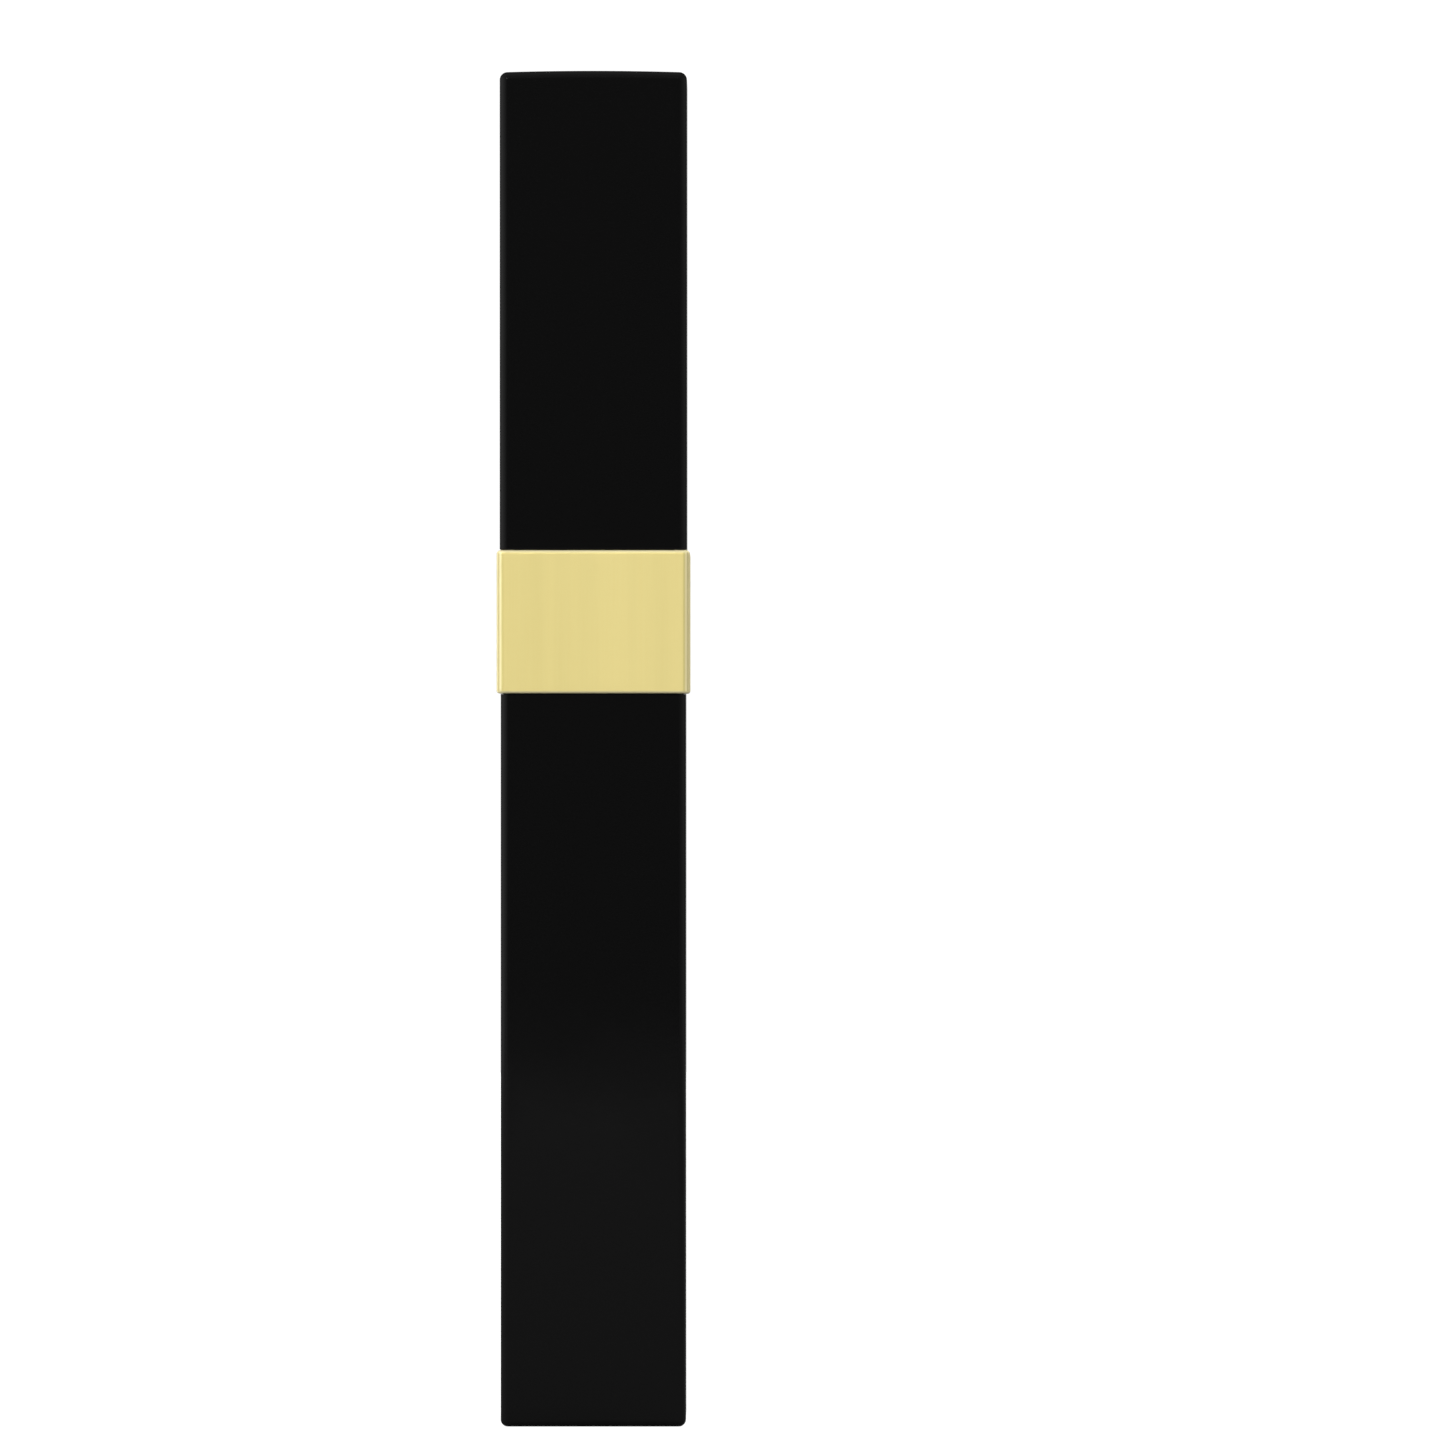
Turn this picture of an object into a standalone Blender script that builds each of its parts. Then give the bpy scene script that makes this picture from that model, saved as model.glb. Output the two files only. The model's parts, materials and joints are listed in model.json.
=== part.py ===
"""Mascara tube: a square casing with a gold collar, and a square cap that carries a moulded brush.

It is modelled closed and standing on its base. The origin is the middle of the base, +Z runs up
the tube, and the front face looks along -Y. All lengths are in metres. Turned parts are profiles
of (radius, height) points swept round the Z axis; each profile runs down its outer side.
"""

import math

import bmesh
import bpy
from mathutils import Matrix

MM = 0.001
GAP = 0.3 * MM                  # free space kept between neighbouring pieces

# Heights of the tube, from the base up
TOTAL_HEIGHT = 135.5 * MM
COLLAR_BOTTOM = 73.2 * MM
COLLAR_TOP = 87.5 * MM
CAP_MOUTH = COLLAR_TOP + GAP

# Square sections
CASING_WIDTH = 18.5 * MM
CASING_WALL = 1.3 * MM
CASING_FLOOR = 1.6 * MM
COLLAR_WIDTH = 19.3 * MM
COLLAR_SHEET = 0.35 * MM
CAP_WIDTH = 18.7 * MM
CAP_WALL = 1.3 * MM
CAP_ROOF = 1.6 * MM
EDGE_RADIUS = 0.8 * MM          # upright edges of casing and cap
END_RADIUS = 0.65 * MM          # edges round the base and the top
CORNER_SEGMENTS = 4

# Tongue of the casing, inside the collar
TONGUE_WIDTH = COLLAR_WIDTH - 2 * COLLAR_SHEET - 2 * GAP
PLATE_TOP = COLLAR_TOP - COLLAR_SHEET - GAP
PLATE_THICKNESS = 1.3 * MM
TONGUE_TOP = PLATE_TOP - PLATE_THICKNESS - GAP

# Label recess under the base
RECESS_WIDTH = 11.0 * MM
RECESS_DEPTH = 0.45 * MM
LABEL_THICKNESS = 0.12 * MM

# Inner vial
VIAL_RADIUS = 7.2 * MM
VIAL_BORE = 6.1 * MM
VIAL_FLOOR = 1.3 * MM
VIAL_SHOULDER = 76.3 * MM
NECK_RADIUS = 5.4 * MM
NECK_ROOT_RADIUS = 5.8 * MM
NECK_ROOT_TOP = 88.4 * MM
NECK_BORE = 4.7 * MM
NECK_TOP = 99.0 * MM

# Quarter-turn closure: two lugs on the neck, two in the cap, each pair 180 degrees apart
LUG_SPAN = math.radians(70)
STOP_SPAN = math.radians(14)
LUG_RADIUS = 5.95 * MM
NECK_LUG_BOTTOM = 92.5 * MM
LUG_HEIGHT = 1.5 * MM
LINER_LUG_RADIUS = NECK_RADIUS + GAP
LINER_LUG_BOTTOM = NECK_LUG_BOTTOM - 0.4 * MM - LUG_HEIGHT

# Cap liner
LINER_RADIUS = 7.75 * MM
LINER_BORE = 6.6 * MM
LINER_BOTTOM = CAP_MOUTH + GAP
LINER_TOP = TOTAL_HEIGHT - CAP_ROOF - 0.4 * MM
LINER_CEILING = 101.3 * MM
SOCKET_RADIUS = 3.2 * MM
SOCKET_TOP = 116.0 * MM
POCKET_RADIUS = 6.3 * MM
POCKET_FLOOR = SOCKET_TOP + 1.2 * MM
WEIGHT_LENGTH = 14.0 * MM
FIN_THICKNESS = 1.2 * MM
FIN_REACH = 10.4 * MM

# Wand: stem and brush
STEM_RADIUS = 2.54 * MM
STEM_END_RADIUS = 2.35 * MM
STEM_END = 35.0 * MM
STEM_SHANK_RADIUS = SOCKET_RADIUS - GAP
PLUG_RADIUS = 3.5 * MM
PLUG_BOTTOM = 95.5 * MM
STEM_BORE = 1.5 * MM
STEM_BORE_TOP = STEM_END + 12.5 * MM
BRUSH_TIP = 4.4 * MM
BRUSH_FIRST_RING = 5.9 * MM
BRUSH_RING = 0.75 * MM          # half of the spacing of the spikes in a row
BRUSH_RINGS = 35
BRUSH_ROWS = 12
CORE_RADIUS = 2.5 * MM
CORE_TIP_RADIUS = 2.05 * MM
SPIKE_TIP_RADIUS = 4.28 * MM    # over the tips of the full length spikes
SPIKE_TAPER = 12.0 * MM         # length over which the spikes grow from the brush's end

TURNED_STEPS = 40


def clear_scene():
    for obj in list(bpy.data.objects):
        bpy.data.objects.remove(obj, do_unlink=True)


def add_collection(name):
    collection = bpy.data.collections.new(name)
    bpy.context.scene.collection.children.link(collection)
    return collection


def add_material(name, color, roughness, metallic=0.0):
    material = bpy.data.materials.new(name)
    material.use_nodes = True
    shader = material.node_tree.nodes["Principled BSDF"]
    shader.inputs["Base Color"].default_value = (*color, 1.0)
    shader.inputs["Roughness"].default_value = roughness
    shader.inputs["Metallic"].default_value = metallic
    return material


def add_object(name, bm, collection, material=None):
    """Turn a bmesh into an object of the given collection."""
    mesh = bpy.data.meshes.new(name)
    bm.to_mesh(mesh)
    bm.free()
    obj = bpy.data.objects.new(name, mesh)
    collection.objects.link(obj)
    if material:
        mesh.materials.append(material)
    return obj


def shade(obj):
    obj.data.shade_smooth()
    obj.data.set_sharp_from_angle(angle=math.radians(35))


def square_block(width, low, high, edge_radius=0.0, low_radius=0.0, high_radius=0.0):
    """A square prism with rounded upright edges, and optionally rounded end edges."""
    bm = bmesh.new()
    size = Matrix.Diagonal((width, width, high - low, 1.0))
    bmesh.ops.create_cube(bm, size=1.0, matrix=Matrix.Translation((0, 0, (low + high) / 2)) @ size)
    if edge_radius:
        upright = [e for e in bm.edges if abs(e.verts[0].co.z - e.verts[1].co.z) > (high - low) / 2]
        bmesh.ops.bevel(bm, geom=upright, offset=edge_radius, segments=CORNER_SEGMENTS,
                        profile=0.5, affect="EDGES")
    for height, radius in ((low, low_radius), (high, high_radius)):
        if radius:
            rim = [e for e in bm.edges if all(abs(v.co.z - height) < GAP / 10 for v in e.verts)]
            bmesh.ops.bevel(bm, geom=rim, offset=radius, segments=CORNER_SEGMENTS,
                            profile=0.5, affect="EDGES")
    return bm


def arc_blocks(inner, outer, low, high, centres, span, steps=8):
    """Solid arcs round the Z axis, one for each angle in centres."""
    bm = bmesh.new()
    for centre in centres:
        corners = [(inner, low), (outer, low), (outer, high), (inner, high)]
        face = bm.faces.new([bm.verts.new((radius, 0, height)) for radius, height in corners])
        start = Matrix.Rotation(centre - span / 2, 3, "Z")
        bmesh.ops.rotate(bm, verts=face.verts, cent=(0, 0, 0), matrix=start)
        bmesh.ops.spin(bm, geom=[face, *face.edges, *face.verts], cent=(0, 0, 0), axis=(0, 0, 1),
                       angle=span, steps=steps)
    bmesh.ops.recalc_face_normals(bm, faces=bm.faces)
    return bm


def turned(name, profile, collection, material=None, closed=False):
    """Sweep a profile of (radius, height) points once round the Z axis."""
    bm = bmesh.new()
    verts = [bm.verts.new((radius, 0, height)) for radius, height in profile]
    for first, second in zip(verts, verts[1:]):
        bm.edges.new((first, second))
    if closed:
        bm.edges.new((verts[-1], verts[0]))
    obj = add_object(name, bm, collection, material)
    screw = obj.modifiers.new("Turn", "SCREW")
    screw.axis = "Z"
    screw.steps = screw.render_steps = TURNED_STEPS
    screw.use_merge_vertices = True
    screw.merge_threshold = 0.00001
    screw.use_smooth_shade = True
    return obj


def combine(obj, other, operation):
    """Join obj with, or cut it by, an object of the cutter collection."""
    other.hide_render = True
    other.display_type = "WIRE"
    boolean = obj.modifiers.new(f"{operation.title()} {other.name}", "BOOLEAN")
    boolean.operation = operation
    boolean.solver = "EXACT"
    boolean.object = other


def build_casing(parts, tools, material):
    """Lower casing: a square box with a narrower tongue on top and a label recess underneath."""
    body = square_block(CASING_WIDTH, 0, COLLAR_BOTTOM - GAP, EDGE_RADIUS, low_radius=END_RADIUS)
    casing = add_object("bottle_casing", body, parts, material)
    tongue = square_block(TONGUE_WIDTH, COLLAR_BOTTOM - 2 * MM, TONGUE_TOP, EDGE_RADIUS - GAP)
    combine(casing, add_object("casing_tongue", tongue, tools), "UNION")
    hollow_width = CASING_WIDTH - 2 * CASING_WALL
    hollow = square_block(hollow_width, CASING_FLOOR, TOTAL_HEIGHT, EDGE_RADIUS / 2)
    combine(casing, add_object("casing_hollow", hollow, tools), "DIFFERENCE")
    recess = square_block(RECESS_WIDTH, -MM, RECESS_DEPTH, EDGE_RADIUS)
    combine(casing, add_object("label_recess", recess, tools), "DIFFERENCE")
    shade(casing)


def build_label(parts, material):
    """Blank label in the recess of the base."""
    low = RECESS_DEPTH - GAP - LABEL_THICKNESS
    label = square_block(RECESS_WIDTH - 2 * GAP, low, low + LABEL_THICKNESS, EDGE_RADIUS)
    shade(add_object("base_label", label, parts, material))


def build_collar(parts, tools, material):
    """Gold collar: a drawn sheet sleeve whose top edge is turned in over the shoulder plate."""
    sleeve = square_block(COLLAR_WIDTH, COLLAR_BOTTOM, COLLAR_TOP, EDGE_RADIUS + 0.1 * MM,
                          low_radius=0.12 * MM, high_radius=0.25 * MM)
    collar = add_object("gold_collar", sleeve, parts, material)
    inside = square_block(COLLAR_WIDTH - 2 * COLLAR_SHEET, 0, COLLAR_TOP - COLLAR_SHEET, EDGE_RADIUS)
    combine(collar, add_object("collar_inside", inside, tools), "DIFFERENCE")
    window = square_block(COLLAR_WIDTH - 2.7 * MM, COLLAR_BOTTOM, TOTAL_HEIGHT, EDGE_RADIUS / 2)
    combine(collar, add_object("collar_window", window, tools), "DIFFERENCE")
    shade(collar)


def build_shoulder(parts, tools, material):
    """Shoulder insert: a stepped square plate with a round skirt that centres the vial's neck."""
    plate = square_block(TONGUE_WIDTH, PLATE_TOP - PLATE_THICKNESS, PLATE_TOP, EDGE_RADIUS - GAP)
    shoulder = add_object("shoulder_insert", plate, parts, material)
    step = square_block(COLLAR_WIDTH - 2.7 * MM - 2 * GAP, PLATE_TOP - MM, COLLAR_TOP - 0.2 * MM,
                        EDGE_RADIUS / 4)
    combine(shoulder, add_object("shoulder_step", step, tools), "UNION")
    skirt_radius = CASING_WIDTH / 2 - CASING_WALL - GAP
    skirt_bottom = VIAL_SHOULDER + 2.3 * MM
    skirt = turned("shoulder_skirt", [(0, PLATE_TOP - GAP), (skirt_radius, PLATE_TOP - GAP),
                                      (skirt_radius, skirt_bottom), (0, skirt_bottom)], tools)
    combine(shoulder, skirt, "UNION")
    hole_radius = NECK_ROOT_RADIUS + GAP
    hole = turned("shoulder_hole", [(0, TOTAL_HEIGHT), (hole_radius, TOTAL_HEIGHT),
                                    (hole_radius, 0), (0, 0)], tools)
    combine(shoulder, hole, "DIFFERENCE")
    shade(shoulder)


def build_vial(parts, tools, material):
    """Inner vial: a round bottle whose neck carries the closure's lugs and stops."""
    bottom = CASING_FLOOR + GAP
    floor = bottom + VIAL_FLOOR
    neck_start = VIAL_SHOULDER + 2.0 * MM
    vial = turned("inner_vial", [
        (0, floor), (VIAL_BORE - 0.7 * MM, floor), (VIAL_BORE, floor + 0.7 * MM),
        (VIAL_BORE, VIAL_SHOULDER - 0.6 * MM), (NECK_BORE, neck_start - 0.5 * MM),
        (NECK_BORE, NECK_TOP), (NECK_RADIUS, NECK_TOP),
        (NECK_RADIUS, NECK_ROOT_TOP), (NECK_ROOT_RADIUS, NECK_ROOT_TOP - 0.4 * MM),
        (NECK_ROOT_RADIUS, neck_start), (VIAL_RADIUS - 0.3 * MM, VIAL_SHOULDER + 0.5 * MM),
        (VIAL_RADIUS, VIAL_SHOULDER), (VIAL_RADIUS, bottom + 0.8 * MM),
        (VIAL_RADIUS - 0.8 * MM, bottom), (0, bottom)], parts, material)
    root = NECK_RADIUS - GAP
    lugs = arc_blocks(root, LUG_RADIUS, NECK_LUG_BOTTOM, NECK_LUG_BOTTOM + LUG_HEIGHT,
                      (0, math.pi), LUG_SPAN)
    combine(vial, add_object("neck_lugs", lugs, tools), "UNION")
    stops = arc_blocks(root, LUG_RADIUS, LINER_LUG_BOTTOM - 0.6 * MM, NECK_LUG_BOTTOM + LUG_HEIGHT,
                       (math.radians(-45), math.radians(135)), STOP_SPAN, steps=2)
    combine(vial, add_object("neck_stops", stops, tools), "UNION")


def build_wiper(parts, material):
    """Wiper: a flanged sleeve in the neck whose lower lip closes on the stem."""
    wall = NECK_BORE - GAP
    bore = PLUG_RADIUS + 0.35 * MM
    lip = STEM_RADIUS + GAP
    low = NECK_TOP - 13.4 * MM
    top = NECK_TOP + GAP + 0.6 * MM
    turned("wiper", [
        (bore, top), (NECK_RADIUS - 0.1 * MM, top), (NECK_RADIUS - 0.1 * MM, NECK_TOP + GAP),
        (wall, NECK_TOP + GAP), (wall, low + 5 * MM), (lip + 0.5 * MM, low), (lip, low),
        (lip, low + 0.6 * MM), (bore, low + 5.5 * MM)], parts, material, closed=True)


def build_formula(parts, material):
    """The make-up: it fills the vial round the brush and the stem."""
    radius = VIAL_BORE - GAP
    low = CASING_FLOOR + GAP + VIAL_FLOOR + GAP
    top = VIAL_SHOULDER - 2.3 * MM
    around_brush = SPIKE_TIP_RADIUS + GAP
    around_stem = STEM_RADIUS + GAP
    turned("mascara_formula", [
        (0, BRUSH_TIP - GAP), (CORE_RADIUS, BRUSH_TIP - GAP),
        (around_brush, BRUSH_TIP + SPIKE_TAPER - 4 * MM), (around_brush, STEM_END - 1.5 * MM),
        (around_stem, STEM_END + 2 * MM), (around_stem, top),
        (radius, top), (radius, low + 0.8 * MM), (radius - 0.8 * MM, low), (0, low)],
        parts, material)


def build_cap(parts, tools, material):
    """Cap casing: a square cup, open at the bottom."""
    block = square_block(CAP_WIDTH, CAP_MOUTH, TOTAL_HEIGHT, EDGE_RADIUS, high_radius=END_RADIUS)
    cap = add_object("cap_casing", block, parts, material)
    hollow = square_block(CAP_WIDTH - 2 * CAP_WALL, 0, TOTAL_HEIGHT - CAP_ROOF, EDGE_RADIUS / 2)
    combine(cap, add_object("cap_hollow", hollow, tools), "DIFFERENCE")
    shade(cap)
    return cap


def build_liner(parts, tools, material):
    """Cap liner: a sleeve over the neck, with a socket for the stem and a pocket for the weight."""
    bead = LINER_CEILING - 1.7 * MM
    liner = turned("cap_liner", [
        (0, POCKET_FLOOR), (POCKET_RADIUS, POCKET_FLOOR), (POCKET_RADIUS, LINER_TOP),
        (LINER_RADIUS, LINER_TOP), (LINER_RADIUS, LINER_BOTTOM), (LINER_BORE, LINER_BOTTOM),
        (LINER_BORE, bead - 0.3 * MM), (LINER_BORE - 0.45 * MM, bead),
        (LINER_BORE, bead + 0.3 * MM), (LINER_BORE, LINER_CEILING),
        (SOCKET_RADIUS, LINER_CEILING), (SOCKET_RADIUS, SOCKET_TOP), (0, SOCKET_TOP)],
        parts, material)
    lugs = arc_blocks(LINER_LUG_RADIUS, LINER_BORE + 0.2 * MM, LINER_LUG_BOTTOM,
                      LINER_LUG_BOTTOM + LUG_HEIGHT, (0, math.pi), LUG_SPAN)
    combine(liner, add_object("liner_lugs", lugs, tools), "UNION")
    fins = bmesh.new()
    low, high = LINER_BOTTOM + 1.5 * MM, LINER_TOP - 1.5 * MM
    root = LINER_RADIUS - 0.4 * MM
    size = Matrix.Diagonal((FIN_REACH - root, FIN_THICKNESS, high - low, 1.0))
    place = Matrix.Translation(((FIN_REACH + root) / 2, 0, (low + high) / 2))
    for quarter in range(4):
        turn = Matrix.Rotation(math.radians(45 + 90 * quarter), 4, "Z")
        bmesh.ops.create_cube(fins, size=1.0, matrix=turn @ place @ size)
    combine(liner, add_object("liner_fins", fins, tools), "UNION")
    return liner


def build_weight(parts, material):
    """Steel weight in the pocket above the stem socket."""
    radius = POCKET_RADIUS - GAP
    low = POCKET_FLOOR + GAP
    high = low + WEIGHT_LENGTH
    edge = 0.4 * MM
    return turned("cap_weight", [
        (0, high), (radius - edge, high), (radius, high - edge), (radius, low + edge),
        (radius - edge, low), (0, low)], parts, material)


def build_washer(parts, material):
    """Sealing washer between the liner's ceiling and the wiper's flange."""
    top = LINER_CEILING - GAP
    low = top - 0.8 * MM
    inner = PLUG_RADIUS + GAP
    outer = LINER_BORE - 0.25 * MM
    return turned("seal_washer", [(inner, top), (outer, top), (outer, low), (inner, low)],
                  parts, material, closed=True)


def build_stem(parts, material):
    """Stem: a rod with a plug and shank in the cap, and a bore for the brush in its free end."""
    shank_top = SOCKET_TOP - 0.5 * MM
    neck_start = STEM_END + 9.0 * MM
    return turned("stem", [
        (0, shank_top), (STEM_SHANK_RADIUS - GAP, shank_top),
        (STEM_SHANK_RADIUS, shank_top - GAP), (STEM_SHANK_RADIUS, LINER_CEILING - GAP),
        (PLUG_RADIUS, LINER_CEILING - GAP), (PLUG_RADIUS, PLUG_BOTTOM + 0.5 * MM),
        (PLUG_RADIUS - GAP, PLUG_BOTTOM), (STEM_RADIUS, PLUG_BOTTOM),
        (STEM_RADIUS, neck_start + 0.6 * MM), (STEM_END_RADIUS, neck_start),
        (STEM_END_RADIUS, STEM_END + 0.7 * MM), (STEM_END_RADIUS - 0.2 * MM, STEM_END + 0.25 * MM),
        (STEM_END_RADIUS - 0.6 * MM, STEM_END), (STEM_BORE, STEM_END),
        (STEM_BORE, STEM_BORE_TOP), (0, STEM_BORE_TOP)], parts, material)


def spike_radius(height):
    """Distance from the axis to a spike's point, which grows along the first stretch."""
    share = min(1.0, max(0.0, (height - BRUSH_FIRST_RING) / SPIKE_TAPER))
    root = CORE_TIP_RADIUS + 0.25 * MM
    return root + (SPIKE_TIP_RADIUS - root) * share ** 0.9


def core_radius(height):
    share = min(1.0, (height - BRUSH_FIRST_RING) / SPIKE_TAPER)
    return CORE_TIP_RADIUS + (CORE_RADIUS - CORE_TIP_RADIUS) * share


def build_brush(parts, material):
    """Moulded brush: shank, neck, core and spikes in one piece. The spikes stand in staggered rows."""
    shank = STEM_BORE - GAP
    last_ring = BRUSH_FIRST_RING + BRUSH_RINGS * BRUSH_RING
    rings = [BRUSH_FIRST_RING + i * BRUSH_RING for i in range(BRUSH_RINGS, -1, -1)]
    profile = [(0, STEM_BORE_TOP - GAP), (shank, STEM_BORE_TOP - GAP), (shank, STEM_END - 0.3 * MM),
               (1.1 * MM, STEM_END - 1.2 * MM), (1.3 * MM, last_ring + 0.7 * MM)]
    profile += [(core_radius(height), height) for height in rings]
    profile += [(CORE_TIP_RADIUS * 0.85, BRUSH_TIP + 0.6 * MM),
                (CORE_TIP_RADIUS * 0.5, BRUSH_TIP + 0.1 * MM), (0, BRUSH_TIP)]
    bm = bmesh.new()
    verts = [bm.verts.new((radius, 0, height)) for radius, height in profile]
    edges = [bm.edges.new(pair) for pair in zip(verts, verts[1:])]
    segments = 2 * BRUSH_ROWS
    bmesh.ops.spin(bm, geom=verts + edges, cent=(0, 0, 0), axis=(0, 0, 1),
                   angle=math.tau, steps=segments, use_merge=True)
    bmesh.ops.remove_doubles(bm, verts=bm.verts, dist=0.00001)
    bmesh.ops.recalc_face_normals(bm, faces=bm.faces)
    spikes = []
    for face in bm.faces:
        centre = face.calc_center_median()
        ring = math.floor((centre.z - BRUSH_FIRST_RING) / BRUSH_RING)
        segment = math.floor(math.atan2(centre.y, centre.x) % math.tau / (math.tau / segments))
        in_core = 0 <= ring < BRUSH_RINGS and centre.z > BRUSH_FIRST_RING
        if in_core and segment % 2 == 0 and (ring + segment // 2) % 2 == 0:
            spikes.append(face)
    for point in bmesh.ops.poke(bm, faces=spikes)["verts"]:
        reach = spike_radius(point.co.z) / point.co.xy.length
        point.co.x *= reach
        point.co.y *= reach
    brush = add_object("brush", bm, parts, material)
    shade(brush)
    return brush


def add_joint_axis(name, parts, parent=None):
    """An empty on the tube's axis, which the pieces moved by the joint hang from."""
    empty = bpy.data.objects.new(name, None)
    empty.empty_display_type = "SINGLE_ARROW"
    empty.empty_display_size = 0.02
    empty.parent = parent
    parts.objects.link(empty)
    return empty


def main():
    clear_scene()
    parts = add_collection("mascara")
    tools = add_collection("cutters")
    black_gloss = add_material("black_gloss", (0.008, 0.008, 0.008), 0.08)
    black_moulding = add_material("black_moulding", (0.012, 0.012, 0.012), 0.4)
    gold_metal = add_material("gold_metal", (0.80, 0.66, 0.30), 0.35, metallic=1.0)
    wiper_plastic = add_material("wiper_plastic", (0.55, 0.54, 0.50), 0.45)
    liner_plastic = add_material("liner_plastic", (0.03, 0.03, 0.032), 0.4)
    weight_steel = add_material("weight_steel", (0.45, 0.45, 0.46), 0.35, metallic=1.0)
    seal_foam = add_material("seal_foam", (0.75, 0.74, 0.70), 0.7)
    formula = add_material("formula", (0.004, 0.004, 0.004), 0.25)
    label_paper = add_material("label_paper", (0.6, 0.6, 0.6), 0.5)

    build_casing(parts, tools, black_gloss)
    build_label(parts, label_paper)
    build_collar(parts, tools, gold_metal)
    build_shoulder(parts, tools, black_moulding)
    build_vial(parts, tools, black_moulding)
    build_wiper(parts, wiper_plastic)
    build_formula(parts, formula)

    pull = add_joint_axis("wand_pull_axis", parts)
    turn = add_joint_axis("cap_turn_axis", parts, parent=pull)
    build_washer(parts, seal_foam).parent = pull
    for piece in (build_cap(parts, tools, black_gloss),
                  build_liner(parts, tools, liner_plastic),
                  build_weight(parts, weight_steel),
                  build_stem(parts, black_moulding),
                  build_brush(parts, black_moulding)):
        piece.parent = turn


main()
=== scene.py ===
# %% [markdown]
# # A mascara tube with a moulded brush
#
# The real object is a square make-up tube, 135 mm tall. A black casing holds a round vial, a gold
# collar covers the joint, and a square black cap carries the stem and the brush. Everything sits
# on one upright axis, so each piece is modelled round the Z axis, at its real size in metres.
#
# The frame that is loaded first holds the moving bodies. Each piece made below stands for one of
# its nodes and rides on that node's body.

# %% Load the frame
import json
import math

import bmesh
import bpy
from mathutils import Matrix, Vector


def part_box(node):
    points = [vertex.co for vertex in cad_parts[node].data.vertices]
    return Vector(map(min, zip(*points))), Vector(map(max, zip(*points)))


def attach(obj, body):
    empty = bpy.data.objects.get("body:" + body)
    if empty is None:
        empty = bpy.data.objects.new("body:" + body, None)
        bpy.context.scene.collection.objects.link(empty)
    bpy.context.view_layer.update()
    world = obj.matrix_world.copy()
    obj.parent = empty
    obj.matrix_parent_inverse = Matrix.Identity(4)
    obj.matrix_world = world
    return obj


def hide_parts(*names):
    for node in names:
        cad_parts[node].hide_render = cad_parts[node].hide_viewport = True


MM = 0.001
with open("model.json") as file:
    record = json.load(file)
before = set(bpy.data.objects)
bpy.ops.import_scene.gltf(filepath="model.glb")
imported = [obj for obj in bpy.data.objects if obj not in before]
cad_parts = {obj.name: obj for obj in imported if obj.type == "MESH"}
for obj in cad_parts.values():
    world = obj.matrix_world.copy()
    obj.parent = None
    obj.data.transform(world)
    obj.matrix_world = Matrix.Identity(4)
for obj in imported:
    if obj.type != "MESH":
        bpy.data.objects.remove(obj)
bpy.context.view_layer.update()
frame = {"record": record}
record = frame["record"]
BODY_OF = {node: body for body, nodes in record["behaviour"]["bodies"].items() for node in nodes}
for node in sorted(BODY_OF):
    low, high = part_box(node)
    print(f"{node}: {(high.x - low.x) / MM:.1f} mm wide, "
          f"{low.z / MM:.1f} to {high.z / MM:.1f} mm up")

# %% [markdown]
# ## The camera
#
# A long lens from more than a metre away keeps the upright edges parallel. The camera looks
# straight at the front face, from just above the middle of the tube's height. It stands a little
# to the right of the axis, which leaves the right half of the view free.

# %% Camera
CAMERA_DISTANCE = 1.2
VIEW_WIDTH = 144.2 * MM
VIEW_CENTRE = Vector((12.9 * MM, 0, 70.3 * MM))
SENSOR_WIDTH = 36.0

front_face = -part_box("cap_casing")[0].y
camera_place = VIEW_CENTRE - Vector((0, CAMERA_DISTANCE, 0))
bpy.ops.object.camera_add(location=camera_place, rotation=(math.radians(90), 0, 0))
camera = bpy.context.object
camera.name = "camera"
camera.data.sensor_width = SENSOR_WIDTH
camera.data.lens = SENSOR_WIDTH * (CAMERA_DISTANCE - front_face) / VIEW_WIDTH
camera.data.clip_end = 20
bpy.context.scene.camera = camera
print(f"camera: {camera.data.lens:.0f} mm lens, {CAMERA_DISTANCE} m from the axis")

# %% [markdown]
# ## Floor and light
#
# Gloss black plastic shows only what it mirrors, so the world is painted for its reflections. It is
# dark behind the camera, where the flat front faces look, brightest at the sides, where the rounded
# edges look, and dimmer again at the back, on the right and overhead. The camera's own rays see it
# as plain white. The diffuse light comes from soft panels all round, hidden from reflections, and
# one small lamp gives rounded corners and the points of the brush a glint. The floor glows for the
# camera alone, so that it stays pale out to its edge without being mirrored in the casing, and it
# lies a hair below the base.

# %% Floor
FLOOR_DROP = 0.05 * MM


def link(tree, output, node, socket):
    tree.links.new(output, node.inputs[socket])


def add_floor(size, color, glow):
    """A plain pale floor, with nothing on it but the object."""
    bpy.ops.object.select_all(action="DESELECT")
    bpy.ops.mesh.primitive_plane_add(size=size, location=(0, 0, -FLOOR_DROP))
    floor = bpy.context.object
    floor.name = "floor"
    paint = bpy.data.materials.new("floor_paint")
    paint.use_nodes = True
    tree = paint.node_tree
    shader = tree.nodes["Principled BSDF"]
    shader.inputs["Base Color"].default_value = (*color, 1)
    shader.inputs["Roughness"].default_value = 0.9
    shader.inputs["Specular IOR Level"].default_value = 0.0
    shader.inputs["Emission Color"].default_value = (1, 1, 1, 1)
    path = tree.nodes.new("ShaderNodeLightPath")
    strength = tree.nodes.new("ShaderNodeMapRange")
    strength.inputs["To Max"].default_value = glow
    link(tree, path.outputs["Is Camera Ray"], strength, "Value")
    link(tree, strength.outputs["Result"], shader, "Emission Strength")
    floor.data.materials.append(paint)


add_floor(size=2.4, color=(0.13, 0.13, 0.13), glow=0.96)
print("the floor is in place")

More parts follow.
